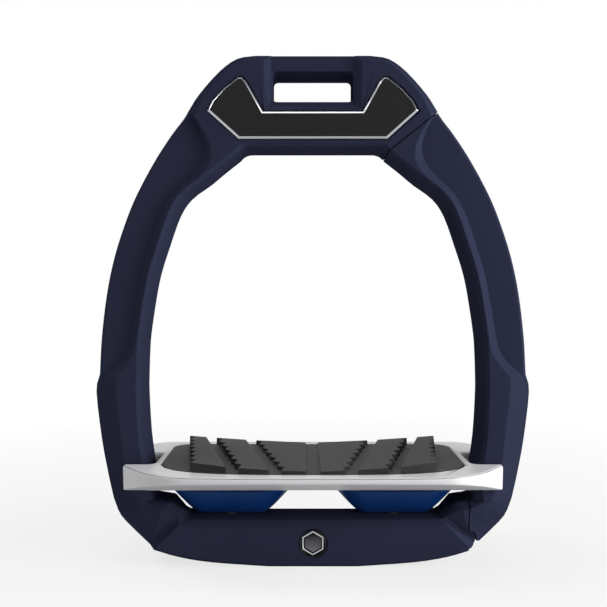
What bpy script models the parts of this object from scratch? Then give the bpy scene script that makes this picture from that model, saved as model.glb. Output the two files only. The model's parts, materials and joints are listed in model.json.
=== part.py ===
"""A safety riding stirrup: a faceted ring whose outer branch swings open, with a tread on elastomers.

Metres, +Z up. X runs across the foot, -Y faces the viewer. The origin lies under the middle of the
base, on the surface that the stirrup stands on.
"""

import math
from collections import namedtuple

import bmesh
import bpy
from mathutils import Matrix, Vector

MM = 0.001

# Overall sizes
TREAD_OPENING = 0.120
FRAME_HEIGHT = 0.1832
FRAME_DEPTH = 0.020
TREAD_DEPTH = 0.0686

# The ring is drawn in millimetres at these standard sizes
DRAWN_OPENING = 0.120
DRAWN_HEIGHT = 0.1832
SPREAD_FROM, SPREAD_TO = 22.0, 56.0
STRETCH_FROM, STRETCH_TO = 45.0, 134.0

# Front and back levels of the ring's facets
FACE = FRAME_DEPTH / 2
EDGE = FACE - 0.0014
PANEL = FACE - 0.0030
FLANK = FACE - 0.0038
SHELF = FACE - 0.0022
INNER_EASE = 0.0012
LEDGE_CROWN = 0.0032
BASE_CROWN = 0.0047
OUTER_CHAMFER = 0.0010
CROWN_SHARE = 0.9
CHAMFER_SHARE = 0.6

# Fits
GAP = 0.0003
RUNNING_GAP = 0.0003
OVERSHOOT = 0.010
ROUND = 32

# Yoke
SLOT_WIDTH = 0.029
SLOT_HEIGHT = 0.011
BAR_THICKNESS = 0.0055
SLOT_CORNER = 0.0018
BAR_SETBACK = 0.0024
BAR_SHOULDER = 0.0026
BAR_LAND = 0.0004
PLATE_THICKNESS = 0.0024
PLATE_POCKET = 0.0020
PLATE_BEVEL = 0.0008
PLATE_MAGNET_SPACING = 0.056
PLATE_MAGNET_RADIUS = 0.0030
PLATE_MAGNET_DEPTH = 0.0020

# Outer arm, its hinge and its catch
PIN_RADIUS = 0.0015
KNUCKLE_RADIUS = 0.0028
KNUCKLE_WIDTH = 0.0060
PIN_LENGTH = 0.0112
PLUG_RADIUS = 0.0019
PLUG_LENGTH = 0.0012
KNUCKLE_ROOT = 0.0012
KNUCKLE_ROUND = (90.0, 335.0)
HEEL_ANGLE = -14.0
ARM_ANGLE = 75.0
INSIDE_OPENING = (40.0, 100.0)
TENON_HEIGHT = 0.0036
TENON_WIDTH = 0.0070
TENON_REACH = 0.0060
CATCH_RADIUS = 0.0012
CATCH_LENGTH = 0.0022

# Tread and grip
TREAD_BOTTOM = 0.0278
TREAD_THICKNESS = 0.0093
TREAD_LIP = 0.0018
KEEL_HALF = 0.0110
TREAD_EDGE = 0.0006
NOTCH_GAP = 0.0006
NOTCH_CORNER = 0.0025
HORN_WIDTH = 0.0021
BACK_CORNER = 0.0120
GRIP_POCKET = 0.0020
GRIP_MARGIN = 0.0060
GRIP_CORNER = 0.0070
GRIP_BOW = 3.3
GRIP_GROOVE = 0.0048
GRIP_GAP = 0.0040
BLOCK_MARGIN = 0.0012
BLOCK_SINK = 0.0008
BLOCK_BASE_HEIGHT = 0.0008
BLOCK_DISH_HEIGHT = 0.0028
BLOCK_DISH = 1.4
TOOTH_COUNT = 7
TOOTH_DEPTH = 0.0022
TOOTH_SLOPE = 0.75

# Elastomers and the bolts through them
ELASTOMER_SPACING = 0.0596
ELASTOMER_TOP = (0.0452, 0.0240)
ELASTOMER_FOOT = (0.0272, 0.0074)
ELASTOMER_RINGS = 8
ELASTOMER_EASE = 0.08
ELASTOMER_EASE_POWER = 6
BOLT_RADIUS = 0.0016
BOLT_CLEARANCE = 0.0004
BOLT_HEAD_RADIUS = 0.0030
BOLT_HEAD_HEIGHT = 0.0032
BOLT_GRIP = 0.0054
WASHER_RADIUS = 0.0036
WASHER_THICKNESS = 0.0008
BUSH_WALL = 0.0008
BASE_WEB = 0.0062
INSERT_WALL = 0.0012
INSERT_LENGTH = 0.0059
SCREW_RADIUS = 0.0014
SCREW_HEAD_RADIUS = 0.0027
SCREW_HEAD_HEIGHT = 0.0018
SCREW_BITE = 0.0019

# Badge
BADGE_RADIUS = 0.0049
BADGE_DEPTH = 0.0036
BADGE_WALL = 0.0004
BADGE_FLOOR = 0.0018
BADGE_FLATS = 0.0076
BADGE_RIM = 0.0010
BADGE_RIM_WALL = 0.0005
BADGE_FACE_BEVEL = 0.0002


def across(x):
    """Metres from the centre line for a drawn x: the yoke keeps its width and the branches move apart."""
    share = min(max((abs(x) - SPREAD_FROM) / (SPREAD_TO - SPREAD_FROM), 0.0), 1.0)
    return math.copysign(abs(x) * MM + share * (TREAD_OPENING - DRAWN_OPENING) / 2, x)


def up(z):
    """Metres above the floor for a drawn z: base and yoke keep their heights and the branches stretch."""
    share = min(max((z - STRETCH_FROM) / (STRETCH_TO - STRETCH_FROM), 0.0), 1.0)
    return z * MM + share * (FRAME_HEIGHT - DRAWN_HEIGHT)


def drawn(*points):
    """Front-view points in metres for points drawn in millimetres."""
    return [Vector((across(x), up(z))) for x, z in points]


# Places that follow from the sizes above
BASE_TOP = up(17.4)
WEB_BOTTOM = BASE_TOP - BASE_WEB
BADGE_HEIGHT = up(8.4)
HINGE, SEAM_OUTER, SEAM_INNER = drawn((55.8, 9.4), (43.9, 162.3), (26.5, 148.4))
SLOT_TOP = FRAME_HEIGHT - BAR_THICKNESS
SLOT_BOTTOM = SLOT_TOP - SLOT_HEIGHT
PLATE_MAGNET_HEIGHT = up(163.6)
TREAD_TOP = TREAD_BOTTOM + TREAD_THICKNESS
TREAD_HALF = TREAD_DEPTH / 2
HORN_TIP = across(67.2)
NOTCH_END = across(56.9)
NOTCH_HALF = FACE + NOTCH_GAP
GRIP_HALF_WIDTH = across(54.8)
GRIP_HALF = TREAD_HALF - GRIP_MARGIN
SCREW_PLACES = [across(x) for x in (-40.0, -11.0, 11.0, 40.0)]
BUSH_BORE = BOLT_RADIUS + BOLT_CLEARANCE
BUSH_RADIUS = BUSH_BORE + BUSH_WALL
INSERT_BORE = BOLT_RADIUS + GAP
INSERT_RADIUS = INSERT_BORE + INSERT_WALL

# Drawn x along the tread's front edge, and how far the edge falls back there
TREAD_FRONT = ((18.0, 0.0), (42.0, 1.3), (50.5, 4.2), (58.8, 10.5))

# Drawn x of each gap between the chevron blocks and of the last block's outer side, back and front
GRIP_GAPS = ((24.6, 12.9), (40.6, 27.4))
GRIP_SIDE = (49.4, 42.0)

# One line across the ring: its outer and inner points, the share of its width where the slanted
# facet starts and ends, the depth on either side of the facet, whether the outline turns sharply,
# and how far the inner edge is set back in depth
Station = namedtuple(
    "Station", "outer inner start end inner_depth outer_depth sharp crown", defaults=(INNER_EASE,)
)

YOKE_STATIONS = (
    Station((0.0, 183.2), (0.0, 150.5), 0.93, 0.97, FACE, EDGE, True),
    Station((20.5, 183.2), (20.0, 150.5), 0.93, 0.97, FACE, EDGE, True),
    Station((27.2, 182.1), (21.8, 150.5), 0.93, 0.97, FACE, EDGE, False),
    Station((33.6, 177.5), (23.6, 150.4), 0.92, 0.97, FACE, EDGE, False),
    Station((40.9, 169.2), (25.6, 149.7), 0.90, 0.97, FACE, EDGE, False),
    Station((45.1, 163.4), (27.3, 148.0), 0.84, 0.96, FACE, PANEL, True),
)
BRANCH_STATIONS = (
    Station((47.2, 160.2), (30.0, 145.9), 0.43, 0.58, FACE, PANEL, False),
    Station((50.8, 155.5), (33.4, 143.2), 0.19, 0.36, FACE, PANEL, False),
    Station((56.4, 147.0), (38.3, 139.1), 0.10, 0.28, FACE, PANEL, False),
    Station((62.1, 136.7), (45.6, 133.7), 0.10, 0.29, FACE, PANEL, False),
    Station((66.3, 127.5), (50.0, 127.2), 0.10, 0.29, FACE, PANEL, False),
    Station((70.6, 115.1), (54.0, 116.0), 0.10, 0.29, FACE, PANEL, False),
    Station((73.3, 104.4), (57.5, 104.8), 0.10, 0.29, FACE, PANEL, False),
    Station((75.1, 93.7), (59.6, 93.6), 0.10, 0.30, FACE, PANEL, False),
    Station((76.3, 82.8), (61.2, 82.4), 0.11, 0.32, FACE, PANEL, False),
    Station((76.7, 77.1), (61.6, 76.5), 0.16, 0.40, FACE, PANEL, False),
    Station((76.9, 72.4), (61.8, 71.4), 0.35, 0.62, FACE, PANEL, False),
    Station((77.1, 68.4), (61.9, 67.2), 0.56, 0.90, FACE, PANEL, True),
    Station((78.4, 62.2), (61.9, 60.8), 0.51, 0.95, FACE, FLANK, False),
    Station((76.4, 45.1), (61.0, 45.3), 0.48, 0.95, FACE, FLANK, False),
    Station((74.0, 32.2), (59.2, 32.4), 0.51, 0.95, FACE, FLANK, False),
    Station((72.1, 23.8), (57.7, 23.3), 0.40, 0.95, FACE, FLANK, True, LEDGE_CROWN),
)
BASE_STATIONS = (
    Station((69.4, 17.4), (54.7, 22.9), 0.24, 0.95, FACE, FLANK, False, LEDGE_CROWN),
    Station((63.5, 11.2), (51.5, 22.4), 0.18, 0.95, FACE, FLANK, True, LEDGE_CROWN),
    Station((58.9, 7.2), (46.8, 18.6), 0.10, 0.94, SHELF, PANEL, True, BASE_CROWN),
    Station((57.0, 5.9), (45.5, 17.4), 0.07, 0.20, SHELF, FACE, True, BASE_CROWN),
    Station((48.0, 3.3), (40.0, 17.4), 0.07, 0.20, SHELF, FACE, False, BASE_CROWN),
    Station((36.0, 1.4), (31.0, 17.4), 0.07, 0.195, SHELF, FACE, False, BASE_CROWN),
    Station((16.0, 0.0), (14.5, 17.4), 0.07, 0.195, SHELF, FACE, True, BASE_CROWN),
    Station((0.0, 0.0), (0.0, 17.4), 0.07, 0.195, SHELF, FACE, True, BASE_CROWN),
)
STEPS = 3

for leftover in list(bpy.data.objects):
    bpy.data.objects.remove(leftover)


def new_collection(name):
    collection = bpy.data.collections.new(name)
    bpy.context.scene.collection.children.link(collection)
    return collection


PARTS = new_collection("stirrup_iron")
CUTTERS = new_collection("stirrup_cutters")


def finish(name, colour, roughness, metallic=0.0):
    """One piece's material."""
    material = bpy.data.materials.new(name)
    material.use_nodes = True
    shader = material.node_tree.nodes["Principled BSDF"]
    shader.inputs["Base Color"].default_value = (*colour, 1.0)
    shader.inputs["Roughness"].default_value = roughness
    shader.inputs["Metallic"].default_value = metallic
    return material


NAVY = finish("navy_composite", (0.018, 0.020, 0.037), 0.45)
BLACK_GLOSS = finish("black_gloss", (0.012, 0.012, 0.012), 0.18)
WHITE = finish("white_tread", (0.80, 0.80, 0.80), 0.35)
GRIP_BLACK = finish("grip_black", (0.045, 0.045, 0.045), 0.6)
BLUE = finish("blue_elastomer", (0.004, 0.021, 0.091), 0.5)
STEEL = finish("steel", (0.45, 0.46, 0.48), 0.3, 1.0)
MAGNET = finish("magnet_nickel", (0.55, 0.54, 0.52), 0.25, 1.0)
BRONZE = finish("bush_bronze", (0.50, 0.33, 0.14), 0.4, 1.0)
CHROME = finish("badge_chrome", (0.60, 0.61, 0.63), 0.12, 1.0)
BADGE_DARK = finish("badge_dark", (0.03, 0.032, 0.036), 0.2, 0.6)


def joint_empty(name, location):
    """The point or axis that a moving body is carried by."""
    empty = bpy.data.objects.new(name, None)
    empty.location = location
    PARTS.objects.link(empty)
    return empty


TREAD_JOINT = joint_empty("tread_slide", (0.0, 0.0, TREAD_BOTTOM))
ARM_JOINT = joint_empty("arm_hinge", (HINGE.x, 0.0, HINGE.y))


def part(name, mesh, material, location=(0, 0, 0), rotation=(0, 0, 0), joint=None):
    """A named piece of the stirrup, carried by a joint where it moves."""
    mesh.name = name
    mesh.materials.clear()
    mesh.materials.append(material)
    mesh.shade_smooth()
    mesh.set_sharp_from_angle(angle=math.radians(30))
    piece = bpy.data.objects.new(name, mesh)
    piece.location = location
    piece.rotation_euler = rotation
    PARTS.objects.link(piece)
    if joint:
        piece.parent = joint
        piece.matrix_parent_inverse = Matrix.Translation(-joint.location)
    return piece


def cutter(name, mesh, location=(0, 0, 0), rotation=(0, 0, 0)):
    """A guide shape that only cuts or joins."""
    tool = bpy.data.objects.new(name, mesh)
    tool.location = location
    tool.rotation_euler = rotation
    tool.hide_render = True
    tool.display_type = "WIRE"
    CUTTERS.objects.link(tool)
    return tool


def combine(piece, tool, operation="DIFFERENCE"):
    boolean = piece.modifiers.new(tool.name, "BOOLEAN")
    boolean.operation = operation
    boolean.object = tool


UPRIGHT = (math.pi / 2, 0.0, 0.0)
LENGTHWAYS = (math.pi / 2, 0.0, math.pi / 2)


def mesh_of(shape):
    """A mesh with its doubles merged and its faces turned outwards."""
    bmesh.ops.remove_doubles(shape, verts=shape.verts, dist=1e-6)
    bmesh.ops.recalc_face_normals(shape, faces=shape.faces)
    mesh = bpy.data.meshes.new("shape")
    shape.to_mesh(mesh)
    shape.free()
    return mesh


def flat_solid(outline, thickness, bevel=0.0):
    """A flat outline in its own XY plane with its thickness about Z = 0 and both rims bevelled."""
    curve = bpy.data.curves.new("outline", "CURVE")
    curve.dimensions = "2D"
    curve.fill_mode = "BOTH"
    curve.extrude = thickness / 2 - bevel
    curve.bevel_depth = bevel
    curve.bevel_resolution = 0
    curve.offset = -bevel
    spline = curve.splines.new("POLY")
    spline.points.add(len(outline) - 1)
    for point, place in zip(spline.points, outline):
        point.co = (place[0], place[1], 0.0, 1.0)
    spline.use_cyclic_u = True
    carrier = bpy.data.objects.new("outline", curve)
    CUTTERS.objects.link(carrier)
    graph = bpy.context.evaluated_depsgraph_get()
    shape = bmesh.new()
    filled = bpy.data.meshes.new_from_object(carrier.evaluated_get(graph))
    shape.from_mesh(filled)
    bpy.data.meshes.remove(filled)
    bpy.data.objects.remove(carrier)
    bpy.data.curves.remove(curve)
    return mesh_of(shape)


def rod(radius, length):
    """A round bar along Z about the middle of its length."""
    shape = bmesh.new()
    bmesh.ops.create_cone(
        shape, cap_ends=True, segments=ROUND, radius1=radius, radius2=radius, depth=length
    )
    return mesh_of(shape)


def turned(profile, closed=False):
    """A profile of (radius, height) points spun about Z; a closed one makes a ring."""
    shape = bmesh.new()
    corners = [shape.verts.new((radius, 0.0, height)) for radius, height in profile]
    pairs = list(zip(corners, corners[1:]))
    if closed:
        pairs.append((corners[-1], corners[0]))
    edges = [shape.edges.new(pair) for pair in pairs]
    bmesh.ops.spin(
        shape,
        geom=corners + edges,
        axis=(0, 0, 1),
        cent=(0, 0, 0),
        angle=math.tau,
        steps=ROUND,
        use_merge=True,
    )
    return mesh_of(shape)


def tube(outer, inner, bottom, top):
    """A plain sleeve between two heights."""
    return turned([(inner, bottom), (outer, bottom), (outer, top), (inner, top)], closed=True)


def offset(outline, distance):
    """A closed outline moved inwards by a distance, corner by corner; a negative one moves it out."""
    points = [Vector(point) for point in outline]
    area = sum(a.cross(b) for a, b in zip(points, points[1:] + points[:1]))
    turn = math.copysign(1.0, area)
    moved = []
    for before, point, after in zip(points[-1:] + points[:-1], points, points[1:] + points[:1]):
        ahead = (after - point).normalized()
        behind = (point - before).normalized()
        normal = Vector((-ahead.y - behind.y, ahead.x + behind.x)).normalized() * turn
        reach = normal.dot(Vector((-ahead.y, ahead.x)) * turn)
        moved.append(point + normal * distance / reach)
    return moved


def arc(centre, radius, start, end, steps=8):
    """Points along an arc between two angles in degrees."""
    angles = [math.radians(start + (end - start) * step / steps) for step in range(steps + 1)]
    return [Vector(centre) + radius * Vector((math.cos(a), math.sin(a))) for a in angles]


def rounded(outline, radius, steps=5):
    """A closed outline with each corner replaced by an arc-like curve of about that radius."""
    points = [Vector(point) for point in outline]
    curve = []
    for before, point, after in zip(points[-1:] + points[:-1], points, points[1:] + points[:1]):
        into = point + (before - point).normalized() * min(radius, (before - point).length / 2)
        out = point + (after - point).normalized() * min(radius, (after - point).length / 2)
        for step in range(steps + 1):
            t = step / steps
            curve.append((1 - t) ** 2 * into + 2 * t * (1 - t) * point + t * t * out)
    return curve


def through(values, sharp, steps):
    """Rows of numbers along a smooth curve through key rows, straight into and out of sharp ones."""
    rows = [values[0]]
    last = len(values) - 1
    for i in range(last):
        a, b = values[i], values[i + 1]
        leave = b - a if sharp[i] else (b - values[i - 1]) / 2
        reach = b - a if sharp[i + 1] else (values[i + 2] - a) / 2
        count = 1 if sharp[i] and sharp[i + 1] else steps
        for step in range(1, count + 1):
            t = step / count
            rows.append(
                a * (2 * t**3 - 3 * t**2 + 1)
                + leave * (t**3 - 2 * t**2 + t)
                + b * (3 * t**2 - 2 * t**3)
                + reach * (t**3 - t**2)
            )
    return rows


def smooth_line(points, steps=4):
    """A smooth open line through a few points, straight at its two ends."""
    sharp = [True] + [False] * (len(points) - 2) + [True]
    return through([Vector(point) for point in points], sharp, steps)


def ring_section(row):
    """One closed cut through the ring, from the inner edge over the front and back over the rear."""
    outer, inner = Vector(row[0:2]), Vector(row[2:4])
    start, end, inner_depth, outer_depth, crown = row[4:9]
    width = (outer - inner).length
    inner_chamfer = min(crown, CROWN_SHARE * start * width)
    outer_chamfer = min(OUTER_CHAMFER, CHAMFER_SHARE * (1 - end) * width)
    profile = (
        (0.0, inner_depth - crown),
        (inner_chamfer / width, inner_depth),
        (start, inner_depth),
        (end, outer_depth),
        (1 - outer_chamfer / width, outer_depth),
        (1.0, outer_depth - outer_chamfer),
    )
    section = []
    for side, points in ((-1, profile), (1, profile[::-1])):
        for share, depth in points:
            place = inner.lerp(outer, share)
            section.append(Vector((place.x, side * depth, place.y)))
    return section


def ring_half():
    """Half of the ring, lofted through its stations and open at the centre plane."""
    stations = YOKE_STATIONS + BRANCH_STATIONS + BASE_STATIONS
    values = []
    for station in stations:
        facet = (station.start, station.end, station.inner_depth, station.outer_depth, station.crown)
        outer, inner = drawn(station.outer, station.inner)
        values.append(Vector((*outer, *inner, *facet)))
    rows = through(values, [station.sharp for station in stations], STEPS)
    shape = bmesh.new()
    loops = [[shape.verts.new(point) for point in ring_section(row)] for row in rows]
    for loop, following in zip(loops, loops[1:]):
        for i in range(len(loop)):
            j = (i + 1) % len(loop)
            shape.faces.new((loop[i], loop[j], following[j], following[i]))
    return mesh_of(shape)


def ring(name, joint=None):
    """The whole ring, mirrored about the centre plane."""
    piece = part(name, ring_half(), NAVY, joint=joint)
    mirror = piece.modifiers.new("both_sides", "MIRROR")
    mirror.merge_threshold = 1e-5
    return piece


def upright_cutter(name, outline, back, front):
    """A cutter with a front-view outline, between two Y values."""
    return cutter(name, flat_solid(outline, front - back), (0, (back + front) / 2, 0), UPRIGHT)


def arm_outline(gap, heel):
    """The front-view region of the outer arm, above a heel line at an angle from the hinge.

    A gap draws it in at both seams and round the knuckle.
    """
    along = (SEAM_OUTER - SEAM_INNER).normalized()
    shift = Vector((along.y, -along.x)) * gap
    radius = KNUCKLE_RADIUS + gap
    top = math.degrees(math.acos(gap / radius))
    return [
        SEAM_OUTER + shift + along * OVERSHOOT,
        SEAM_INNER + shift - along * OVERSHOOT,
        *drawn(INSIDE_OPENING),
        Vector((HINGE.x + gap, TREAD_TOP)),
        *arc(HINGE, radius, top, heel, 12),
        *arc(HINGE, FRAME_HEIGHT, heel, ARM_ANGLE, 6),
    ]


def swing_sector(inner, outer, start, end):
    """A front-view outline between two radii and two angles about the hinge."""
    return arc(HINGE, outer, start, end, 4) + arc(HINGE, inner, end, start, 4)


SEAM_MIDDLE = SEAM_OUTER.lerp(SEAM_INNER, 0.5)
TENON_RADIUS = (SEAM_MIDDLE - HINGE).length
TENON_ANGLE = math.degrees(math.atan2(*(SEAM_MIDDLE - HINGE).yx))


def swing_degrees(distance):
    return math.degrees(distance / TENON_RADIUS)


TENON_TIP = TENON_ANGLE + swing_degrees(TENON_REACH)


def catch_place(distance):
    """A point that far past the tenon's tip, and the turn of a rod that lies along the swing there."""
    angle = math.radians(TENON_TIP + swing_degrees(distance))
    place = HINGE + TENON_RADIUS * Vector((math.cos(angle), math.sin(angle)))
    return (place.x, 0.0, place.y), (0.0, math.pi - angle, 0.0)


def plate_outline():
    """The face plate's front-view outline: two wings joined under the leather slot."""
    wing = drawn((26.6, 152.5), (38.2, 162.9), (36.2, 166.8), (32.2, 171.2), (27.2, 175.2))
    notch = drawn((25.2, 175.5), (23.4, 173.5), (17.6, 163.0))
    right = wing + notch
    left = [Vector((-point.x, point.y)) for point in reversed(right)]
    return right + left


def build_frame():
    """Yoke, inner branch and base in one piece, with every pocket and bore that it holds."""
    frame = ring("frame")
    far = FACE + OVERSHOOT
    combine(frame, upright_cutter("arm_room", arm_outline(0.0, -90.0), -far, far))

    slot = [(-1, SLOT_BOTTOM), (1, SLOT_BOTTOM), (1, SLOT_TOP), (-1, SLOT_TOP)]
    slot = [(side * SLOT_WIDTH / 2, z) for side, z in slot]
    combine(frame, upright_cutter("leather_slot", rounded(slot, SLOT_CORNER), -far, far))

    reach = SLOT_WIDTH / 2 + BAR_LAND + BAR_SHOULDER
    foot = SLOT_BOTTOM - BAR_LAND - BAR_SHOULDER
    shoulder = [
        (-reach, foot),
        (reach, foot),
        (reach, SLOT_TOP + OVERSHOOT),
        (-reach, SLOT_TOP + OVERSHOOT),
    ]
    for name, side in (("front", -1), ("back", 1)):
        tool = cutter("bar_setback_" + name, flat_solid(shoulder, 2 * OVERSHOOT, BAR_SHOULDER))
        tool.rotation_euler = UPRIGHT
        tool.scale.z = BAR_SETBACK / BAR_SHOULDER
        half = OVERSHOOT * tool.scale.z
        tool.location.y = side * (FACE - BAR_SETBACK + half)
        combine(frame, tool)

    combine(frame, upright_cutter("plate_pocket", plate_outline(), -far, PLATE_POCKET - FACE))
    for name, x in (("left", -1), ("right", 1)):
        hole = rod(PLATE_MAGNET_RADIUS + GAP, 2 * PLATE_MAGNET_DEPTH)
        place = (x * PLATE_MAGNET_SPACING / 2, PLATE_POCKET + GAP - FACE, PLATE_MAGNET_HEIGHT)
        combine(frame, cutter("plate_magnet_bore_" + name, hole, place, UPRIGHT))

        bolt_x = x * ELASTOMER_SPACING / 2
        profile = [
            (0.0, BASE_TOP + OVERSHOOT),
            (BUSH_RADIUS + GAP, BASE_TOP + OVERSHOOT),
            (BUSH_RADIUS + GAP, WEB_BOTTOM),
            (WASHER_RADIUS + BOLT_CLEARANCE, WEB_BOTTOM),
            (WASHER_RADIUS + BOLT_CLEARANCE, -OVERSHOOT),
            (0.0, -OVERSHOOT),
        ]
        combine(frame, cutter("bolt_bore_" + name, turned(profile), (bolt_x, 0, 0)))

    hole = rod(BADGE_RADIUS + GAP, 2 * BADGE_DEPTH)
    combine(frame, cutter("badge_bore", hole, (0, -FACE, BADGE_HEIGHT), UPRIGHT))

    radius = KNUCKLE_RADIUS + RUNNING_GAP
    fork = arc(HINGE, radius, 0, 180, 16)
    fork += [(HINGE.x - radius, -OVERSHOOT), (HINGE.x + radius, -OVERSHOOT)]
    half = KNUCKLE_WIDTH / 2 + RUNNING_GAP
    combine(frame, upright_cutter("knuckle_room", fork, -half, half))
    combine(frame, pin_cutter("pin_bore", GAP))
    place = (HINGE.x, PIN_LENGTH / 2 + GAP + OVERSHOOT, HINGE.y)
    combine(frame, cutter("plug_bore", rod(PLUG_RADIUS + GAP, 2 * OVERSHOOT), place, UPRIGHT))

    half = TENON_HEIGHT / 2 + GAP
    root = TENON_ANGLE - swing_degrees(OVERSHOOT)
    tip = TENON_TIP + swing_degrees(GAP)
    mortise = swing_sector(TENON_RADIUS - half, TENON_RADIUS + half, root, tip)
    half = TENON_WIDTH / 2 + GAP
    combine(frame, upright_cutter("mortise", mortise, -half, half))
    hole = rod(CATCH_RADIUS + GAP, CATCH_LENGTH + 2 * GAP)
    combine(frame, cutter("magnet_bore", hole, *catch_place(GAP + CATCH_LENGTH / 2)))


def pin_cutter(name, gap):
    bore = rod(PIN_RADIUS + gap, PIN_LENGTH + 2 * gap)
    return cutter(name, bore, (HINGE.x, 0, HINGE.y), UPRIGHT)


def build_arm():
    """The outer branch with its middle knuckle below and its tenon above."""
    arm = ring("safety_arm", ARM_JOINT)
    far = FACE + OVERSHOOT
    combine(arm, upright_cutter("arm_region", arm_outline(GAP, HEEL_ANGLE), -far, far), "INTERSECT")

    root = TENON_ANGLE - swing_degrees(TENON_REACH)
    inner = TENON_RADIUS - TENON_HEIGHT / 2
    tenon = swing_sector(inner, inner + TENON_HEIGHT, root, TENON_TIP)
    half = TENON_WIDTH / 2
    combine(arm, upright_cutter("tenon", tenon, -half, half), "UNION")
    hole = rod(CATCH_RADIUS + GAP, CATCH_LENGTH + 2 * GAP)
    combine(arm, cutter("keeper_bore", hole, *catch_place(-CATCH_LENGTH / 2)))

    knuckle = arc(HINGE, KNUCKLE_RADIUS, *KNUCKLE_ROUND, 22)
    root = KNUCKLE_RADIUS + KNUCKLE_ROOT
    knuckle.append(HINGE + Vector((root, 0.0)))
    knuckle.append(HINGE + Vector((root, KNUCKLE_RADIUS)))
    half = KNUCKLE_WIDTH / 2
    combine(arm, upright_cutter("middle_knuckle", knuckle, -half, half), "UNION")
    combine(arm, pin_cutter("arm_pin_bore", RUNNING_GAP))


def build_hinge_and_catch():
    """The pin through the three knuckles, the plug behind it, and the magnet that holds the arm shut."""
    part("hinge_pin", rod(PIN_RADIUS, PIN_LENGTH), STEEL, (HINGE.x, 0, HINGE.y), UPRIGHT)
    plug_y = PIN_LENGTH / 2 + 2 * GAP + PLUG_LENGTH / 2
    part("pin_plug", rod(PLUG_RADIUS, PLUG_LENGTH), NAVY, (HINGE.x, plug_y, HINGE.y), UPRIGHT)
    place, turn = catch_place(GAP + CATCH_LENGTH / 2)
    part("catch_magnet", rod(CATCH_RADIUS, CATCH_LENGTH), MAGNET, place, turn)
    place, turn = catch_place(-CATCH_LENGTH / 2)
    part("catch_keeper", rod(CATCH_RADIUS, CATCH_LENGTH), STEEL, place, turn, ARM_JOINT)


def build_face_plate():
    """The bevelled plate in its pocket and the two magnets behind it."""
    mesh = flat_solid(offset(plate_outline(), GAP), PLATE_THICKNESS, PLATE_BEVEL)
    middle = PLATE_POCKET - GAP - PLATE_THICKNESS / 2 - FACE
    part("face_plate", mesh, BLACK_GLOSS, (0, middle, 0), UPRIGHT)
    magnet_y = PLATE_POCKET + PLATE_MAGNET_DEPTH / 2 - FACE
    for name, x in (("left", -1), ("right", 1)):
        disc = rod(PLATE_MAGNET_RADIUS, PLATE_MAGNET_DEPTH)
        place = (x * PLATE_MAGNET_SPACING / 2, magnet_y, PLATE_MAGNET_HEIGHT)
        part("plate_magnet_" + name, disc, MAGNET, place, UPRIGHT)


def both_halves(half):
    """A closed outline from its +X half, listed from the front centre line round to the back."""
    return half + [Vector((-point[0], point[1])) for point in reversed(half)]


def tread_outline():
    """Plan view: a bowed front edge, a straight back, and a notch round each branch."""
    horn_front = NOTCH_HALF + HORN_WIDTH
    bow = [(across(x), fall * MM - TREAD_HALF) for x, fall in TREAD_FRONT]
    front = smooth_line(bow + [(HORN_TIP - TREAD_EDGE, -horn_front - TREAD_EDGE)])
    notch = [
        (HORN_TIP, -horn_front),
        (HORN_TIP, -NOTCH_HALF),
        (NOTCH_END + NOTCH_CORNER, -NOTCH_HALF),
        *arc((NOTCH_END + NOTCH_CORNER, -NOTCH_HALF + NOTCH_CORNER), NOTCH_CORNER, 270, 180, 4)[1:],
        *arc((NOTCH_END + NOTCH_CORNER, NOTCH_HALF - NOTCH_CORNER), NOTCH_CORNER, 180, 90, 4),
        (HORN_TIP, NOTCH_HALF),
    ]
    back = arc((HORN_TIP - BACK_CORNER, TREAD_HALF - BACK_CORNER), BACK_CORNER, 0, 90)
    return both_halves(front + notch + back)


def hull_outline():
    """Side view of the tread: a thin lip front and back, and a flat keel on the elastomers."""
    half = TREAD_HALF + OVERSHOOT / 2
    slope = (TREAD_THICKNESS - TREAD_LIP) / (TREAD_HALF - KEEL_HALF)
    lip = TREAD_BOTTOM + slope * (half - KEEL_HALF)
    side = [(KEEL_HALF, TREAD_BOTTOM), (half, lip), (half, TREAD_TOP)]
    return side + [(-y, z) for y, z in reversed(side)]


def grip_bow(x):
    """Plan y of the inlay's bowed front edge."""
    share = min(abs(x) / GRIP_HALF_WIDTH, 1.0)
    return -GRIP_HALF * (1 - share**GRIP_BOW) ** (1 / GRIP_BOW)


def grip_outline():
    """Plan view of the inlay: bowed in front like the tread and nearly square behind."""
    angles = [math.radians(angle) for angle in range(10, 90, 10)]
    front = [(x, grip_bow(x)) for x in (GRIP_HALF_WIDTH * math.sin(angle) for angle in angles)]
    side = GRIP_HALF_WIDTH - GRIP_CORNER
    back = arc((side, GRIP_HALF - GRIP_CORNER), GRIP_CORNER, 0, 90, 5)
    return both_halves(front + back)


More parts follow.
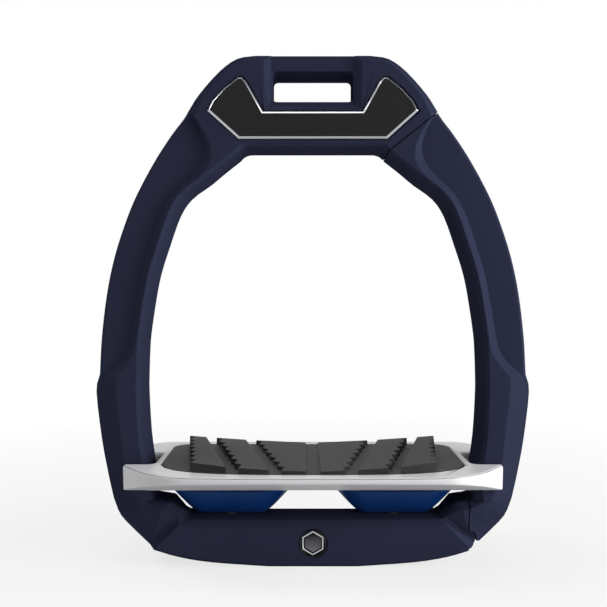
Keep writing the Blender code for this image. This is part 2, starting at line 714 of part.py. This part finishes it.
def build_tread():
    """The footplate: its plan outline cut to the hull's side view, with the inlay's pocket and the bores."""
    mesh = flat_solid(tread_outline(), TREAD_THICKNESS, TREAD_EDGE)
    tread = part("tread_plate", mesh, WHITE, (0, 0, TREAD_BOTTOM + TREAD_THICKNESS / 2), joint=TREAD_JOINT)
    hull = cutter("hull", flat_solid(hull_outline(), 2 * (HORN_TIP + OVERSHOOT)), rotation=LENGTHWAYS)
    combine(tread, hull, "INTERSECT")
    pocket = flat_solid(grip_outline(), 2 * GRIP_POCKET)
    combine(tread, cutter("grip_pocket", pocket, (0, 0, TREAD_TOP)))
    for name, x in (("left", -1), ("right", 1)):
        hole = rod(INSERT_RADIUS + GAP, 2 * (INSERT_LENGTH + 2 * GAP))
        combine(tread, cutter("insert_bore_" + name, hole, (x * ELASTOMER_SPACING / 2, 0, TREAD_BOTTOM)))
    for count, x in enumerate(SCREW_PLACES, 1):
        profile = [
            (0.0, TREAD_TOP),
            (SCREW_RADIUS + GAP, TREAD_TOP),
            (SCREW_RADIUS + GAP, TREAD_BOTTOM + SCREW_HEAD_HEIGHT + 2 * GAP),
            (SCREW_HEAD_RADIUS + GAP, TREAD_BOTTOM + SCREW_HEAD_HEIGHT + 2 * GAP),
            (SCREW_HEAD_RADIUS + GAP, TREAD_BOTTOM - OVERSHOOT),
            (0.0, TREAD_BOTTOM - OVERSHOOT),
        ]
        combine(tread, cutter(f"screw_bore_{count}", turned(profile), (x, 0, 0)))


def block_outlines():
    """The +X half's chevron blocks, each with saw teeth down the side that faces outwards."""
    groove = GRIP_GROOVE / 2
    half_gap = GRIP_GAP / 2
    starts = [(groove, groove)]
    ends = []
    for back, front in GRIP_GAPS:
        starts.append((across(back) + half_gap, across(front) + half_gap))
        ends.append((across(back) - half_gap, across(front) - half_gap))
    ends.append((across(GRIP_SIDE[0]), across(GRIP_SIDE[1])))
    back = GRIP_HALF - BLOCK_MARGIN
    outlines = []
    for (start_back, start_front), (end_back, end_front) in zip(starts, ends):
        front = grip_bow(end_front) + BLOCK_MARGIN
        outline = [(start_back, back), (start_front, grip_bow(start_front) + BLOCK_MARGIN)]
        for tooth in range(TOOTH_COUNT):
            for share, bite in ((tooth, 0.0), (tooth + TOOTH_SLOPE, TOOTH_DEPTH)):
                t = share / TOOTH_COUNT
                outline.append((end_front + (end_back - end_front) * t - bite, front + (back - front) * t))
        outline.append((end_back, back))
        outlines.append(outline)
    return outlines


def dished_block(outline):
    """One chevron block whose top rises towards the tread's ends."""
    mesh = flat_solid(outline, 2 * BLOCK_SINK)
    for vertex in mesh.vertices:
        if vertex.co.z > 0:
            share = vertex.co.x / across(GRIP_SIDE[0])
            vertex.co.z = BLOCK_BASE_HEIGHT + BLOCK_DISH_HEIGHT * share**BLOCK_DISH
    return mesh


def build_grip():
    """The inlay and its serrated blocks, joined in one moulding."""
    thickness = GRIP_POCKET - GAP
    mesh = flat_solid(offset(grip_outline(), GAP), thickness)
    pad = part("grip_pad", mesh, GRIP_BLACK, (0, 0, TREAD_TOP - thickness / 2), joint=TREAD_JOINT)
    for count, outline in enumerate(block_outlines(), 1):
        for name, side in (("left", -1), ("right", 1)):
            mesh = dished_block(outline)
            if side < 0:
                mesh.transform(Matrix.Scale(-1, 4, (1, 0, 0)))
                mesh.flip_normals()
            tool = cutter(f"block_{count}_{name}", mesh, (0, 0, TREAD_TOP))
            combine(pad, tool, "UNION")
    for count, x in enumerate(SCREW_PLACES, 1):
        hole = rod(SCREW_RADIUS + GAP, 2 * (SCREW_BITE + GAP))
        place = (x, 0, TREAD_TOP - GRIP_POCKET)
        combine(pad, cutter(f"screw_bite_{count}", hole, place))
        bottom = TREAD_BOTTOM + GAP
        shoulder = bottom + SCREW_HEAD_HEIGHT
        profile = [
            (0.0, TREAD_TOP - GRIP_POCKET + SCREW_BITE),
            (SCREW_RADIUS, TREAD_TOP - GRIP_POCKET + SCREW_BITE),
            (SCREW_RADIUS, shoulder),
            (SCREW_HEAD_RADIUS, shoulder),
            (SCREW_HEAD_RADIUS, bottom),
            (0.0, bottom),
        ]
        part(f"grip_screw_{count}", turned(profile), STEEL, (x, 0, 0), joint=TREAD_JOINT)


def bowl(foot, top, bottom, height):
    """An oblong bowl with straight flaring sides and an eased foot, hulled into one closed form."""
    shape = bmesh.new()
    straight = (top[0] - top[1]) / 2
    foot_straight = (foot[0] - foot[1]) / 2
    for ring_count in range(ELASTOMER_RINGS + 1):
        t = ring_count / ELASTOMER_RINGS
        swell = t - ELASTOMER_EASE * (1 - t) ** ELASTOMER_EASE_POWER
        radius = (foot[1] + (top[1] - foot[1]) * swell) / 2
        reach = foot_straight + (straight - foot_straight) * swell
        for side in (-1, 1):
            place = Matrix.Translation((side * reach, 0, bottom + height * t))
            bmesh.ops.create_circle(shape, segments=ROUND, radius=radius, matrix=place)
    bmesh.ops.convex_hull(shape, input=shape.verts)
    loose = [vertex for vertex in shape.verts if not vertex.link_faces]
    bmesh.ops.delete(shape, geom=loose, context="VERTS")
    return mesh_of(shape)


def build_elastomers_and_bolts():
    """Each side's pad, and the bolt that ties the tread down through it and slides in the base."""
    pad_bottom = BASE_TOP + GAP
    pad_height = TREAD_BOTTOM - BASE_TOP - 2 * GAP
    washer_top = WEB_BOTTOM - GAP
    head_top = washer_top - WASHER_THICKNESS - GAP
    for name, side in (("left", -1), ("right", 1)):
        place = (side * ELASTOMER_SPACING / 2, 0, 0)
        mesh = bowl(ELASTOMER_FOOT, ELASTOMER_TOP, pad_bottom, pad_height)
        pad = part("elastomer_" + name, mesh, BLUE, place)
        hole = rod(BUSH_BORE, 4 * pad_height)
        combine(pad, cutter("elastomer_bore_" + name, hole, (place[0], 0, pad_bottom)))

        bush = tube(BUSH_RADIUS, BUSH_BORE, WEB_BOTTOM + GAP, BASE_TOP)
        part("guide_bush_" + name, bush, BRONZE, place)
        washer = tube(WASHER_RADIUS, BUSH_BORE, washer_top - WASHER_THICKNESS, washer_top)
        part("bolt_washer_" + name, washer, STEEL, place, joint=TREAD_JOINT)
        profile = [
            (0.0, TREAD_BOTTOM + BOLT_GRIP),
            (BOLT_RADIUS, TREAD_BOTTOM + BOLT_GRIP),
            (BOLT_RADIUS, head_top),
            (BOLT_HEAD_RADIUS, head_top),
            (BOLT_HEAD_RADIUS, head_top - BOLT_HEAD_HEIGHT),
            (0.0, head_top - BOLT_HEAD_HEIGHT),
        ]
        part("tread_bolt_" + name, turned(profile), STEEL, place, joint=TREAD_JOINT)
        foot = TREAD_BOTTOM + GAP
        insert = tube(INSERT_RADIUS, INSERT_BORE, foot, foot + INSERT_LENGTH)
        part("tread_insert_" + name, insert, BRONZE, place, joint=TREAD_JOINT)


def hexagon(flats):
    """A six-sided outline standing on a corner."""
    angles = [math.tau * count / 6 for count in range(6)]
    return [flats / math.sqrt(3) * Vector((math.sin(a), math.cos(a))) for a in angles]


def build_badge():
    """The round cup sunk in the base, the six-sided rim on its floor, and the plain insert in the rim."""
    back = GAP - BADGE_DEPTH
    inside = BADGE_RADIUS - BADGE_WALL
    profile = [
        (0.0, back),
        (BADGE_RADIUS, back),
        (BADGE_RADIUS, 0.0),
        (inside, 0.0),
        (inside, -BADGE_FLOOR),
        (0.0, -BADGE_FLOOR),
    ]
    cup = part("badge_cup", turned(profile), CHROME, (0, -FACE, BADGE_HEIGHT), UPRIGHT)
    floor = (0, BADGE_FLOOR - FACE, BADGE_HEIGHT)
    rim = flat_solid(hexagon(BADGE_FLATS), 2 * BADGE_RIM)
    combine(cup, cutter("badge_rim", rim, floor, UPRIGHT), "UNION")
    pocket = BADGE_FLATS - 2 * BADGE_RIM_WALL
    sunk = (0, BADGE_FLOOR - BADGE_RIM / 2 - FACE, BADGE_HEIGHT)
    combine(cup, cutter("badge_pocket", flat_solid(hexagon(pocket), 2 * BADGE_RIM), sunk, UPRIGHT))
    mesh = flat_solid(hexagon(pocket - 2 * GAP), BADGE_RIM, BADGE_FACE_BEVEL)
    place = (0, BADGE_FLOOR - GAP - FACE, BADGE_HEIGHT)
    part("badge_insert", mesh, BADGE_DARK, place, UPRIGHT)


build_frame()
build_arm()
build_hinge_and_catch()
build_face_plate()
build_tread()
build_grip()
build_elastomers_and_bolts()
build_badge()
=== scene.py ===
# %% [markdown]
# # Finishing a safety stirrup iron
#
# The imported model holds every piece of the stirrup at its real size, as plain faceted solids. This lesson
# gives those pieces their finish: eased edges, soft pads, fastener heads and procedural materials. It then
# sets up a small studio and looks at the stirrup from the front.

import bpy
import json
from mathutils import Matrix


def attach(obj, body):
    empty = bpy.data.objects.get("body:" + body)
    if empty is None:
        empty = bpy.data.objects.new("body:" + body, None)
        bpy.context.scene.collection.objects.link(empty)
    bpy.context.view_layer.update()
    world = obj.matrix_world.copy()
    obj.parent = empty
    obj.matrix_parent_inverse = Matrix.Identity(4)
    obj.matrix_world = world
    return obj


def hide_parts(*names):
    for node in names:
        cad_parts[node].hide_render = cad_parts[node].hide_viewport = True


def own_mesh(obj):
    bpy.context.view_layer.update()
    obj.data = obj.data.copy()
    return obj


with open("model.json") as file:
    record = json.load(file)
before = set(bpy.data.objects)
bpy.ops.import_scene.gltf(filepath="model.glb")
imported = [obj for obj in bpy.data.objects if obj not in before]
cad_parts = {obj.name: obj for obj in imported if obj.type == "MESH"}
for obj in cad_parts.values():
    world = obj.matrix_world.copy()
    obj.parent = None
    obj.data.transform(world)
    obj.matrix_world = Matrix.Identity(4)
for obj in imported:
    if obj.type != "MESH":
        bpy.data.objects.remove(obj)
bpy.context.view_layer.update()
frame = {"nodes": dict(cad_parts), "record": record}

# %% [markdown]
# ## Which body and which finish
#
# The record says which body each node moves with and which material slot it has. Two small tables made from
# it save naming them again for every piece.

# %% Read the record
import json
import math

import bmesh
import bpy
from mathutils import Vector
from mathutils.bvhtree import BVHTree

record = frame["record"]
body_of = {node: body for body, nodes in record["behaviour"]["bodies"].items() for node in nodes}
slot_of = {subpart["node"]: subpart["material_slot"] for subpart in record["subparts"]}
print("slots:", sorted(set(slot_of.values())))

# %% [markdown]
# ## The camera
#
# The photograph was taken level, from a little over a forearm's length, and nearly in line with the middle
# of the stirrup. That close, the tread's near edge looks clearly wider than its far edge, so distance
# matters as much as the lens. A camera that is level and unshifted keeps upright lines upright.

# %% Place the camera
SENSOR_WIDTH = 36.0
PHOTO_WIDTH = 607
FOCAL_PIXELS = 771
CAMERA_PLACE = (-0.00335, -0.285, 0.09415)
CLIP_START = 0.01

camera = bpy.data.objects.new("camera", bpy.data.cameras.new("camera"))
camera.data.sensor_width = SENSOR_WIDTH
camera.data.lens = FOCAL_PIXELS / PHOTO_WIDTH * SENSOR_WIDTH
camera.data.clip_start = CLIP_START
camera.location = CAMERA_PLACE
camera.rotation_euler = (math.pi / 2, 0.0, 0.0)
bpy.context.scene.collection.objects.link(camera)
bpy.context.scene.camera = camera
print(f"lens {camera.data.lens:.1f} mm, {-CAMERA_PLACE[1] * 1000:.0f} mm away")

# %% [markdown]
# ## Writing materials as sums
#
# A material is a small sum: this noise times that strength, plus a base value. Placing Math nodes by hand
# hides the sum, so one small class wraps an output socket and lets Python's operators add the nodes.
# Its one other method adds any kind of node: settings first, then the values or links of its sockets.


# %% Wrap sockets
class Signal:
    """An output socket of a material. Python's operators on it add Math nodes."""

    def __init__(self, tree, socket=None):
        self.tree = tree
        self.socket = socket

    def node(self, kind, settings=None, sockets=None, output=0):
        """Add a node, set it up, feed its sockets with values or links, and wrap one output."""
        made = self.tree.nodes.new(kind)
        for name, value in (settings or {}).items():
            setattr(made, name, value)
        for name, value in (sockets or {}).items():
            socket = self.pick(made.inputs, name)
            if isinstance(value, Signal):
                self.tree.links.new(value.socket, socket)
            else:
                socket.default_value = value
        return Signal(self.tree, self.pick(made.outputs, output))

    @staticmethod
    def pick(sockets, name):
        """A socket by its number or name, or by its identifier where several share a name."""
        matches = [socket for socket in sockets if socket.identifier == name]
        return matches[0] if matches else sockets[name]

    def math(self, operation, first, second=0.0):
        return self.node("ShaderNodeMath", {"operation": operation}, {0: first, 1: second})

    def __add__(self, other):
        return self.math("ADD", self, other)

    __radd__ = __add__

    def __sub__(self, other):
        return self.math("SUBTRACT", self, other)

    def __rsub__(self, other):
        return self.math("SUBTRACT", other, self)

    def __mul__(self, other):
        return self.math("MULTIPLY", self, other)

    __rmul__ = __mul__

    def __truediv__(self, other):
        return self.math("DIVIDE", self, other)

    def __rtruediv__(self, other):
        return self.math("DIVIDE", other, self)

    def clamped(self, low, high):
        return self.math("MINIMUM", self.math("MAXIMUM", self, low), high)


def srgb(red, green, blue):
    """A shader colour from an eight-bit display colour."""
    channels = []
    for level in (red, green, blue):
        share = level / 255
        channels.append(share / 12.92 if share <= 0.04045 else ((share + 0.055) / 1.055) ** 2.4)
    return (*channels, 1.0)


print("mid grey as a shader value:", round(srgb(128, 128, 128)[0], 3))

# %% [markdown]
# ## A finish with grain
#
# Every moulded or machined surface here has the same build-up: a base colour that drifts a little over the
# piece, a roughness that drifts with it, and a fine grain that only shows as bump. The grain can be drawn
# out along one axis, which turns it into the drag marks of a mould or the rings of a lathe tool. One
# function makes that build-up, and each finish below sets its scale and strength.

# %% Build a grained finish
CLOUD_SIZE = 0.02
CLOUD_DETAIL = 2.0
GRAIN_DETAIL = 1.0


def place_on_piece(start, stretch=(1.0, 1.0, 1.0)):
    """Object coordinates, squeezed along each axis so that a pattern on them is drawn out there."""
    place = start.node("ShaderNodeTexCoord", output="Object")
    return start.node("ShaderNodeVectorMath", {"operation": "MULTIPLY"}, {0: place, 1: stretch})


def noise(start, size, detail, place):
    """Soft noise between 0 and 1 whose blotches are about that size in metres."""
    return start.node("ShaderNodeTexNoise", None, {"Vector": place, "Scale": 1 / size, "Detail": detail})


def blend(start, factor, first, second):
    """A colour that share of the way from the first to the second."""
    sockets = {"Factor_Float": factor, "A_Color": first, "B_Color": second}
    return start.node("ShaderNodeMix", {"data_type": "RGBA"}, sockets, output="Result_Color")


def shaded(colour, share):
    """A colour made lighter or darker by that share."""
    return (*(min(channel * (1 + share), 1.0) for channel in colour[:3]), 1.0)


def grained(name, colour, roughness, drift=0.08, grain=0.00025, bump=0.15, stretch=(1.0, 1.0, 1.0), **fixed):
    """A finish with a drifting colour and roughness and a fine grain, and fixed values for other sockets."""
    material = bpy.data.materials.new(name)
    material.use_nodes = True
    tree = material.node_tree
    shader = tree.nodes["Principled BSDF"]
    start = Signal(tree)
    clouds = noise(start, CLOUD_SIZE, CLOUD_DETAIL, place_on_piece(start))
    tint = blend(start, clouds, shaded(colour, -drift), shaded(colour, drift))
    rough = roughness * (1 - drift) + clouds * (2 * drift * roughness)
    height = noise(start, grain, GRAIN_DETAIL, place_on_piece(start, stretch))
    bumped = start.node("ShaderNodeBump", None, {"Strength": bump, "Distance": grain / 4, "Height": height})
    for socket, signal in (("Base Color", tint), ("Roughness", rough), ("Normal", bumped)):
        tree.links.new(signal.socket, shader.inputs[socket])
    for socket, value in fixed.items():
        shader.inputs[socket].default_value = value
    return material


LATHE_RINGS = (0.1, 0.1, 1.0)
MOULD_LINES = (0.08, 1.0, 1.0)
NO_SHINE = {"Specular IOR Level": 0.0}
LOW_SHINE = {"Specular IOR Level": 0.15}
METAL = {"Metallic": 1.0}
finishes = {
    "navy_composite": grained("navy_composite", srgb(44, 47, 66), 0.45, drift=0.05, bump=0.12, **NO_SHINE),
    "white_tread": grained("white_tread", srgb(212, 212, 214), 0.35, drift=0.01, bump=0.04, **LOW_SHINE),
    "grip_black": grained("grip_black", srgb(46, 46, 47), 0.62, bump=0.5, stretch=MOULD_LINES, **LOW_SHINE),
    "blue_elastomer": grained("blue_elastomer", srgb(9, 48, 104), 0.42, bump=0.05, **LOW_SHINE),
    "steel": grained("steel", srgb(180, 182, 186), 0.3, stretch=LATHE_RINGS, **METAL),
    "magnet_nickel": grained("magnet_nickel", srgb(196, 194, 190), 0.22, bump=0.03, **METAL),
    "bush_bronze": grained("bush_bronze", srgb(104, 84, 56), 0.38, stretch=LATHE_RINGS, **METAL),
}
print("grained finishes:", len(finishes))

# %% [markdown]
# ## Gloss with bright bevels, and a shaded insert
#
# The face plate is gloss black, and its bevels are bright metal. The badge is a dark cup with a bright
# six-sided rim. Each is one moulding with a bright foil on some of its faces, so a mark on the mesh says
# which faces are bright, and the finish turns to metal there. The badge's insert is painted with shade: it
# goes from black at the top, where the cup's rim shades it, to grey at the bottom, which height alone can
# drive.

# %% Build the gloss finishes
BRIGHT_MARK = "bright"
STREAK_DETAIL = 3.0
LEAST_ROUGH = 0.85
ROUGH_SPREAD = 0.3
GLOSS = 0.2
insert_heights = [vertex.co.z for vertex in frame["nodes"]["badge_insert"].data.vertices]
INSERT_TOP = max(insert_heights)
INSERT_HEIGHT = INSERT_TOP - min(insert_heights)


def graded(name, share_of, dark, pale, metal, shine):
    """A gloss finish that goes from a dark to a pale colour, and to metal, by a share found on the piece."""
    material = bpy.data.materials.new(name)
    material.use_nodes = True
    tree = material.node_tree
    shader = tree.nodes["Principled BSDF"]
    start = Signal(tree)
    share = share_of(start)
    streaks = noise(start, CLOUD_SIZE, STREAK_DETAIL, place_on_piece(start))
    tint = blend(start, share, dark, pale)
    rough = GLOSS * (LEAST_ROUGH + ROUGH_SPREAD * streaks)
    for socket, signal in (("Base Color", tint), ("Roughness", rough), ("Metallic", share * metal)):
        tree.links.new(signal.socket, shader.inputs[socket])
    shader.inputs["Specular IOR Level"].default_value = shine
    return material


def marked_share(start):
    """1 on the faces that are marked as bright, and 0 elsewhere."""
    return start.node("ShaderNodeAttribute", {"attribute_name": BRIGHT_MARK}, output="Fac")


def painted_shade_fade(start):
    """How far below the badge's top a place is, from 0 to 1, which fades out the insert's painted shade."""
    place = place_on_piece(start)
    height = start.node("ShaderNodeSeparateXYZ", None, {"Vector": place}, output="Z")
    return ((INSERT_TOP - height) / INSERT_HEIGHT).clamped(0.0, 1.0)


JET = srgb(26, 26, 27)
INK = srgb(12, 12, 14)
SILVER = srgb(190, 191, 196)
GREY = srgb(118, 120, 124)
finishes["black_gloss"] = graded("black_gloss", marked_share, JET, SILVER, metal=1.0, shine=0.15)
finishes["badge_chrome"] = graded("badge_chrome", marked_share, INK, SILVER, metal=1.0, shine=0.3)
# The insert's colour is painted shade: black at the top, where the cup's rim shades it, grey lower down.
finishes["badge_dark"] = graded("badge_dark", painted_shade_fade, INK, GREY, metal=0.2, shine=0.1)
print("finishes:", len(finishes))

# %% [markdown]
# ## Easing the edges
#
# A moulding has no knife edges. A copy of the solid is welded, and its outward edges are bevelled, so that
# each one catches a thin line of light; three segments are enough at this size. A smooth shading over
# everything would round off the shallow facets, so the edges between them are marked as creases, and only
# the bevels and the long curves stay smooth.

# %% Ease a solid's edges
WELD = 1e-6
SLIVER = 1e-4
LEVEL_ANGLE = math.radians(0.1)
SHARP_ANGLE = math.radians(20)
FACET_ANGLE = math.radians(17)
ROUND_ANGLE = math.radians(35)


def welded(node):
    """A copy of a node's triangles, welded, without slivers, and with its flat faces cut up evenly."""
    shape = bmesh.new()
    shape.from_mesh(frame["nodes"][node].data)
    bmesh.ops.remove_doubles(shape, verts=shape.verts, dist=WELD)
    bmesh.ops.dissolve_degenerate(shape, edges=shape.edges, dist=SLIVER)
    flat = [edge for edge in shape.edges if edge.calc_face_angle(math.pi) < LEVEL_ANGLE]
    bmesh.ops.beautify_fill(shape, faces=shape.faces, edges=flat, method="ANGLE")
    return shape


def ease(shape, width, crease=FACET_ANGLE, segments=3):
    """Bevel every edge that stands out sharply, put back stray corners, and crease what stays."""
    skin = BVHTree.FromBMesh(shape)
    edges = [edge for edge in shape.edges if edge.is_convex and edge.calc_face_angle(0.0) > SHARP_ANGLE]
    made = bmesh.ops.bevel(
        shape,
        geom=edges,
        offset=width,
        affect="EDGES",
        segments=segments,
        profile=0.5,
        material=-1,
        clamp_overlap=False,
    )
    for vertex in shape.verts:
        place, _, _, distance = skin.find_nearest(vertex.co)
        if distance > width:
            vertex.co = place
    bmesh.ops.remove_doubles(shape, verts=shape.verts, dist=WELD)
    bmesh.ops.dissolve_degenerate(shape, edges=shape.edges, dist=WELD)
    bevels = {face for face in made["faces"] if face.is_valid}
    for face in shape.faces:
        face.smooth = True
    for edge in shape.edges:
        eased = any(face in bevels for face in edge.link_faces)
        edge.smooth = eased or edge.calc_face_angle(0.0) < crease
    return shape


def show(name, shape, node):
    """Make a shape into a piece that stands for a node, on its body and in its finish."""
    loose = sum(not edge.is_manifold for edge in shape.edges)
    mesh = bpy.data.meshes.new(name)
    shape.to_mesh(mesh)
    shape.free()
    mesh.materials.append(finishes[slot_of[node]])
    piece = bpy.data.objects.new(name, mesh)
    bpy.context.scene.collection.objects.link(piece)
    piece.modifiers.new("flat_faces", "WEIGHTED_NORMAL").keep_sharp = True
    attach(piece, body_of[node])
    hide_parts(node)
    print(f"{name}: {len(mesh.polygons)} faces, {loose} open edges")
    return piece


EASED = {
    "frame": 0.00025,
    "safety_arm": 0.00025,
    "tread_plate": 0.0005,
    "grip_pad": 0.0002,
    "badge_insert": 0.0001,
}
for node, width in EASED.items():
    show(node + "_finished", ease(welded(node), width), node)

# %% [markdown]
# ## The bright faces of the plate and the badge
#
# The plate's slopes are found by the way they face: not forwards like the face, and not sideways like the
# wall. The rim of the badge is found by its place: nearer the middle than the cup's wall, and in front.

# %% Mark the bright faces
PLATE_EASE = 0.0001
BADGE_EASE = 0.00008
SLOPE_RANGE = (0.25, 0.95)
WALL_SHARE = 0.91
RIM_REACH = 0.0003

plate = ease(welded("face_plate"), PLATE_EASE, segments=2)
mark = plate.faces.layers.float.new(BRIGHT_MARK)
for face in plate.faces:
    face[mark] = float(SLOPE_RANGE[0] < -face.normal.y < SLOPE_RANGE[1])
show("face_plate_finished", plate, "face_plate")

badge = ease(welded("badge_cup"), BADGE_EASE, segments=2)
mark = badge.faces.layers.float.new(BRIGHT_MARK)
badge_middle = Vector((0.0, INSERT_TOP - INSERT_HEIGHT / 2))
distances = {vertex: (vertex.co.xz - badge_middle).length for vertex in badge.verts}
inside = WALL_SHARE * max(distances.values())
rim_front = min(vertex.co.y for vertex in badge.verts if distances[vertex] < inside)
for face in badge.faces:
    face[mark] = float(all(distances[v] < inside and v.co.y < rim_front + RIM_REACH for v in face.verts))
show("badge_cup_finished", badge, "badge_cup")

# %% [markdown]
# ## The elastomers
#
# The two pads under the tread are soft, and when the tread sinks they are pressed flatter towards the base.
# Each pad is eased, and its height is printed with the height that the tread's travel leaves it.

# %% Ease the pads
PAD_EASE = 0.0003
slide = next(joint for joint in record["behaviour"]["joints"] if joint["name"] == "tread_slide")
PAD_TRAVEL = -slide["range_m"][0]
for side in ("left", "right"):
    node = "elastomer_" + side
    pad = show(node + "_finished", ease(welded(node), PAD_EASE, ROUND_ANGLE), node)
    heights = [vertex.co.z for vertex in pad.data.vertices]
    foot = min(heights)
    height = max(heights) - foot
    1 - PAD_TRAVEL / height
    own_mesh(pad)
    print(f"{node}: {height * 1000:.1f} mm high, {(height - PAD_TRAVEL) * 1000:.1f} mm when pressed")

# %% [markdown]
# ## Heads with sockets
#
# The tread's bolts and the grip's screws have six-sided sockets, which show from below. The flat end of the
# head is taken out, joined to a six-sided loop, and that loop is pushed in and closed.

# %% Cut the sockets
HEAD_EASE = 0.00015
HEX_SIDES = 6


def socketed(shape, flats, depth):
    """Sink a six-sided socket in the lower end of a head."""
    low = min(vertex.co.z for vertex in shape.verts)
    cap = [face for face in shape.faces if all(vertex.co.z < low + WELD for vertex in face.verts)]
    rim = [edge for edge in shape.edges if sum(face in cap for face in edge.link_faces) == 1]
    points = {vertex for edge in rim for vertex in edge.verts}
    middle = sum((vertex.co for vertex in points), Vector()) / len(points)
    bmesh.ops.delete(shape, geom=cap, context="FACES")
    corners = []
    reach = flats / math.sqrt(3)
    for count in range(HEX_SIDES):
        turn = math.tau * count / HEX_SIDES
        corners.append(shape.verts.new(middle + reach * Vector((math.cos(turn), math.sin(turn), 0.0))))
    loop = [shape.edges.new((corners[count - 1], corners[count])) for count in range(HEX_SIDES)]
    bmesh.ops.bridge_loops(shape, edges=rim + loop)
    pushed = bmesh.ops.extrude_edge_only(shape, edges=loop)["geom"]
    floor_corners = [item for item in pushed if isinstance(item, bmesh.types.BMVert)]
    floor_edges = [item for item in pushed if isinstance(item, bmesh.types.BMEdge)]
    bmesh.ops.translate(shape, verts=floor_corners, vec=(0, 0, depth))
    bmesh.ops.contextual_create(shape, geom=floor_edges)
    bmesh.ops.recalc_face_normals(shape, faces=shape.faces)
    return shape


BOLT_FLATS, BOLT_DEPTH = 0.0030, 0.0018
SCREW_FLATS, SCREW_DEPTH = 0.0024, 0.0010
SOCKETS = {
    "tread_bolt": (("left", "right"), BOLT_FLATS, BOLT_DEPTH),
    "grip_screw": (("1", "2", "3", "4"), SCREW_FLATS, SCREW_DEPTH),
}
for kind, (places, flats, depth) in SOCKETS.items():
    for place in places:
        node = f"{kind}_{place}"
        show(node + "_finished", socketed(ease(welded(node), HEAD_EASE), flats, depth), node)

# %% [markdown]
# ## The small turned pieces
#
# The washers, bushes, inserts, magnets and the hinge pin are turned or pressed, with broken edges.

# %% Ease the small pieces
shown = {*EASED, "face_plate", "badge_cup", "elastomer_left", "elastomer_right"}
for node in frame["nodes"]:
    if node not in shown and not node.startswith(tuple(SOCKETS)):
        show(node + "_finished", ease(welded(node), HEAD_EASE), node)

# The plain solids take the same finishes as the pieces that stand for them.
for node, piece in frame["nodes"].items():
    piece.data.materials.clear()
    piece.data.materials.append(finishes[slot_of[node]])

# %% [markdown]
# ## The studio
#
# The stirrup is lit as in a product studio. A broad key lamp well round to the right carries most of the
# light, and a fill at the front right softens its shadows. A strip at the upper left draws the bright lines
# on the face plate, and a weak lamp overhead fills the tread. The left is left dark, so the facets part
# clearly.

# %% Light the stirrup
scene = bpy.context.scene
scene.view_settings.view_transform = "Standard"
MIDDLE = Vector((0.0, 0.0, 0.09))
LAMPS = {
    "key": {"place": (0.86, -0.22, 0.22), "size": (0.6, 0.5), "watts": 10.0},
    "fill": {"place": (0.58, -0.68, 0.35), "size": (0.6, 0.6), "watts": 2.4},
    "strip": {"place": (-0.5, 0.0, 0.59), "size": (0.35, 0.16), "watts": 1.8},
    "top": {"place": (0.0, 0.0, 0.95), "size": (0.5, 0.4), "watts": 1.7},
}


def area_light(name, place, size, watts):
    """A rectangular lamp that looks at the middle of the stirrup."""
    data = bpy.data.lights.new(name, "AREA")
    data.shape = "RECTANGLE"
    data.size, data.size_y = size
    data.energy = watts
    lamp = bpy.data.objects.new(name, data)
    lamp.location = place
    lamp.rotation_euler = (MIDDLE - Vector(place)).to_track_quat("-Z", "Y").to_euler()
    scene.collection.objects.link(lamp)
    print(f"{name} lamp: {watts} W")


for name, lamp in LAMPS.items():
    area_light(name, **lamp)

# %% [markdown]
# ## Floor and backdrop
#
# The floor is pale paper that also throws light up under the tread and the yoke. Where it is seen, by the
# camera or in a shiny face, it fades to white away from the stirrup, so no horizon shows, and near the
# stirrup it keeps the shadow. The room behind is white in the same way, and lights the stirrup only dimly.

# %% Lay the floor
DIM_ROOM = 0.14
PAPER = (0.8, 0.8, 0.8, 1.0)
PAPER_SIZE = 4.0
PAPER_ROUGHNESS = 0.9
SHADOW_SHARE = 0.25
FADE_START = 0.12
FADE_LENGTH = 0.25
SEEN_RAYS = ("Is Camera Ray", "Is Glossy Ray", "Is Transmission Ray")


def seen_share(start):
    """1 for rays that show a surface to the camera or in a shiny face, and 0 for those that only light."""
    path = start.node("ShaderNodeLightPath").socket.node
    return sum(Signal(start.tree, path.outputs[ray]) for ray in SEEN_RAYS).clamped(0.0, 1.0)


scene.world = bpy.data.worlds.new("studio")
scene.world.use_nodes = True
tree = scene.world.node_tree
background = tree.nodes["Background"]
background.inputs["Color"].default_value = (1.0, 1.0, 1.0, 1.0)
level = DIM_ROOM + (1 - DIM_ROOM) * seen_share(Signal(tree))
tree.links.new(level.socket, background.inputs["Strength"])

plan = bmesh.new()
bmesh.ops.create_grid(plan, x_segments=1, y_segments=1, size=PAPER_SIZE)
floor = bpy.data.objects.new("floor", bpy.data.meshes.new("floor"))
plan.to_mesh(floor.data)
plan.free()
scene.collection.objects.link(floor)

paper = bpy.data.materials.new("paper")
paper.use_nodes = True
tree = paper.node_tree
start = Signal(tree)
shader = tree.nodes["Principled BSDF"]
shader.inputs["Base Color"].default_value = PAPER
shader.inputs["Roughness"].default_value = PAPER_ROUGHNESS
shader.inputs["Specular IOR Level"].default_value = 0.0
place = place_on_piece(start)
distance = start.node("ShaderNodeVectorMath", {"operation": "LENGTH"}, {0: place}, output="Value")
fade = ((distance - FADE_START) / FADE_LENGTH).clamped(0.0, 1.0)
seen = seen_share(start) * (1 - SHADOW_SHARE * (1 - fade))
glow = start.node("ShaderNodeEmission")
paper_shader = Signal(tree, shader.outputs["BSDF"])
mixed = start.node("ShaderNodeMixShader", None, {0: seen, 1: paper_shader, 2: glow})
tree.links.new(mixed.socket, tree.nodes["Material Output"].inputs["Surface"])
floor.data.materials.append(paper)
print("floor and backdrop in place")
